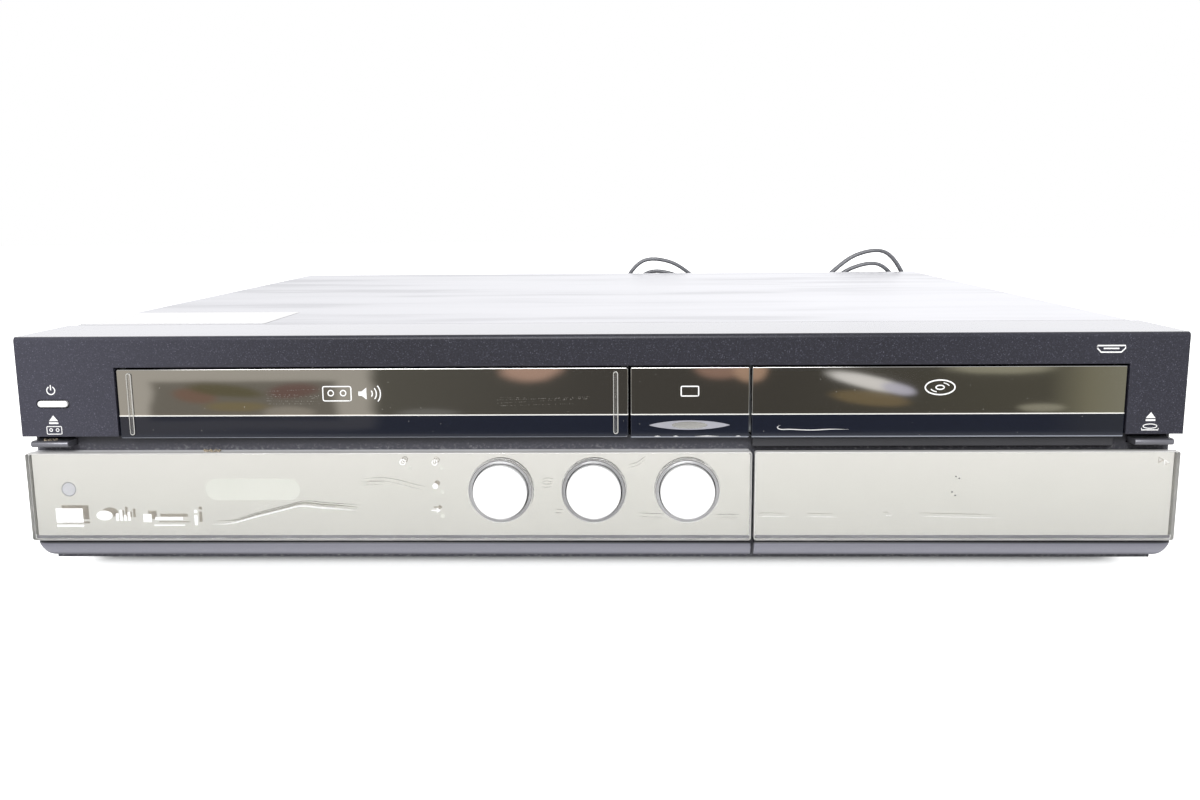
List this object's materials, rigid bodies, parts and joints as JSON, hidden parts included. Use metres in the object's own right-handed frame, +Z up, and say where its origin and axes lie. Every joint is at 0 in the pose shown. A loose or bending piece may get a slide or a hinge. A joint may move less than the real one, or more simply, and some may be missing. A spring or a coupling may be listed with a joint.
{
  "type": "vhs hdd recorder",
  "caption": "Black living-room recorder with a video cassette door, a sliding disc tray and a hard drive, a silver mirror front with round keys and a flip-down door",
  "frame": {"origin": "on the table under the middle of the case's bounding box, its lead not counted", "axes": "+X runs to the viewer's right along the width, +Y runs to the back, the front faces -Y, +Z is up"},
  "size_m": [0.43, 0.4371, 0.1108],
  "materials": {
    "speckled_black": "dark charcoal with fine silvery speckle, semi-gloss",
    "satin_black": "satin black coated sheet steel",
    "neck_black": "matt black moulding",
    "smoked_mirror": "smoked half-mirror acrylic, polished",
    "silver_mirror": "clear acrylic over a silver mirror layer",
    "strip_grey": "dark grey, brighter along its upper edge",
    "key_silver": "silver-white plated plastic, polished",
    "steel": "zinc-plated sheet steel",
    "black_plastic": "black moulded plastic",
    "grey_plastic": "grey moulded plastic",
    "rubber": "black rubber",
    "board": "green circuit board with solder mask",
    "aluminium": "turned or cast aluminium",
    "sensor_glass": "bluish grey translucent lens",
    "cord_black": "black flat twin lead"
  },
  "bodies": {
    "case": {"chassis_base": "steel", "top_cover": "satin_black", "rear_panel": "satin_black", "front_fascia": "speckled_black", "front_frame": "neck_black", "lower_panel": "silver_mirror", "lower_trim_strip": "strip_grey", "centre_window": "smoked_mirror", "foot_front_left": "rubber", "foot_front_right": "rubber", "foot_rear_left": "rubber", "foot_rear_right": "rubber", "sensor_lens": "sensor_glass", "display_module": "black_plastic", "socket_pocket": "neck_black", "key_board": "board", "front_sockets": "grey_plastic", "drive_housing": "steel", "deck_plate": "steel", "drum_base": "aluminium", "carriage_rail_left": "steel", "carriage_rail_right": "steel", "hard_drive": "aluminium", "drive_bracket": "steel", "power_supply": "board", "main_board": "board", "fan_frame": "black_plastic", "rear_sockets": "black_plastic", "tuner_block": "steel", "strain_relief": "rubber", "cord_run": "cord_black", "cord_hank": "cord_black", "cord_tail": "cord_black", "cord_tie": "rubber", "mains_plug": "rubber"},
    "flip_door": {"flip_door_panel": "silver_mirror", "flip_door_backing": "black_plastic", "flip_door_trim": "strip_grey"},
    "tape_door": {"tape_door": "smoked_mirror"},
    "tray": {"disc_tray": "black_plastic", "tray_front": "smoked_mirror"},
    "disc_hub": {"disc_hub": "black_plastic"},
    "laser_sled": {"laser_sled": "grey_plastic"},
    "carriage_slider": {"carriage_slider": "steel"},
    "cassette_carriage": {"cassette_carriage": "steel"},
    "head_drum": {"head_drum": "aluminium"},
    "capstan": {"capstan": "steel"},
    "supply_reel": {"supply_reel": "black_plastic"},
    "takeup_reel": {"takeup_reel": "black_plastic"},
    "pinch_arm": {"pinch_arm": "black_plastic"},
    "fan_rotor": {"fan_rotor": "black_plastic"},
    "power_button": {"power_button": "key_silver"},
    "tape_eject_tab": {"tape_eject_tab": "key_silver"},
    "tray_tab": {"tray_tab": "key_silver"},
    "round_key_left": {"round_key_left": "key_silver"},
    "round_key_middle": {"round_key_middle": "key_silver"},
    "round_key_right": {"round_key_right": "key_silver"},
    "small_key_1": {"small_key_1": "grey_plastic"},
    "small_key_2": {"small_key_2": "grey_plastic"},
    "small_key_3": {"small_key_3": "grey_plastic"}
  },
  "joints": [
    {"name": "flip_door_hinge", "type": "hinge", "parent": "case", "child": "flip_door", "pos_m": [0.1371, -0.1866, 0.0154], "axis": [1, 0, 0], "range_deg": [0, 85]},
    {"name": "tape_door_hinge", "type": "hinge", "parent": "case", "child": "tape_door", "pos_m": [-0.0828, -0.187, 0.0875], "axis": [1, 0, 0], "range_deg": [0, 88], "stiffness_Nm_per_rad": 0.01, "springref_deg": -28.65},
    {"name": "tray_slide", "type": "slide", "parent": "case", "child": "tray", "axis": [0, -1, 0], "range_m": [0, 0.14]},
    {"name": "disc_hub_turn", "type": "hinge", "parent": "case", "child": "disc_hub", "pos_m": [0.12585, -0.1221, 0.062], "axis": [0, 0, 1], "continuous": true},
    {"name": "sled_slide", "type": "slide", "parent": "case", "child": "laser_sled", "axis": [0, 1, 0], "range_m": [0, 0.036]},
    {"name": "slider_slide", "type": "slide", "parent": "case", "child": "carriage_slider", "axis": [0, 1, 0], "range_m": [0, 0.04]},
    {"name": "carriage_drop", "type": "slide", "parent": "carriage_slider", "child": "cassette_carriage", "axis": [0, 0, -1], "range_m": [0, 0.028]},
    {"name": "head_drum_turn", "type": "hinge", "parent": "case", "child": "head_drum", "pos_m": [-0.09, 0.044, 0.0258], "axis": [0, 0.0872, 0.9962], "continuous": true},
    {"name": "capstan_turn", "type": "hinge", "parent": "case", "child": "capstan", "pos_m": [-0.02, 0.014, 0.02], "axis": [0, 0, 1], "continuous": true},
    {"name": "supply_reel_turn", "type": "hinge", "parent": "case", "child": "supply_reel", "pos_m": [-0.1288, -0.06, 0.024], "axis": [0, 0, 1], "continuous": true},
    {"name": "takeup_reel_turn", "type": "hinge", "parent": "case", "child": "takeup_reel", "pos_m": [-0.0368, -0.06, 0.024], "axis": [0, 0, 1], "continuous": true},
    {"name": "pinch_arm_swing", "type": "hinge", "parent": "case", "child": "pinch_arm", "pos_m": [-0.002, 0.036, 0.026], "axis": [0, 0, -1], "range_deg": [0, 30]},
    {"name": "fan_turn", "type": "hinge", "parent": "case", "child": "fan_rotor", "pos_m": [0.17, 0.177, 0.052], "axis": [0, 1, 0], "continuous": true},
    {"name": "power_button_press", "type": "slide", "parent": "case", "child": "power_button", "axis": [0, 1, 0], "range_m": [0, 0.001], "stiffness_N_per_m": 300, "springref_m": -0.0005},
    {"name": "tape_eject_tab_press", "type": "slide", "parent": "case", "child": "tape_eject_tab", "axis": [0, 1, 0], "range_m": [0, 0.0012], "stiffness_N_per_m": 300, "springref_m": -0.0005},
    {"name": "tray_tab_press", "type": "slide", "parent": "case", "child": "tray_tab", "axis": [0, 1, 0], "range_m": [0, 0.0012], "stiffness_N_per_m": 300, "springref_m": -0.0005},
    {"name": "round_key_left_press", "type": "slide", "parent": "case", "child": "round_key_left", "axis": [0, 1, 0], "range_m": [0, 0.0015], "stiffness_N_per_m": 400, "springref_m": -0.0005},
    {"name": "round_key_middle_press", "type": "slide", "parent": "case", "child": "round_key_middle", "axis": [0, 1, 0], "range_m": [0, 0.0015], "stiffness_N_per_m": 400, "springref_m": -0.0005},
    {"name": "round_key_right_press", "type": "slide", "parent": "case", "child": "round_key_right", "axis": [0, 1, 0], "range_m": [0, 0.0015], "stiffness_N_per_m": 400, "springref_m": -0.0005},
    {"name": "small_key_1_press", "type": "slide", "parent": "case", "child": "small_key_1", "axis": [0, 1, 0], "range_m": [0, 0.0012], "stiffness_N_per_m": 300, "springref_m": -0.0005},
    {"name": "small_key_2_press", "type": "slide", "parent": "case", "child": "small_key_2", "axis": [0, 1, 0], "range_m": [0, 0.0012], "stiffness_N_per_m": 300, "springref_m": -0.0005},
    {"name": "small_key_3_press", "type": "slide", "parent": "case", "child": "small_key_3", "axis": [0, 1, 0], "range_m": [0, 0.0012], "stiffness_N_per_m": 300, "springref_m": -0.0005}
  ]
}
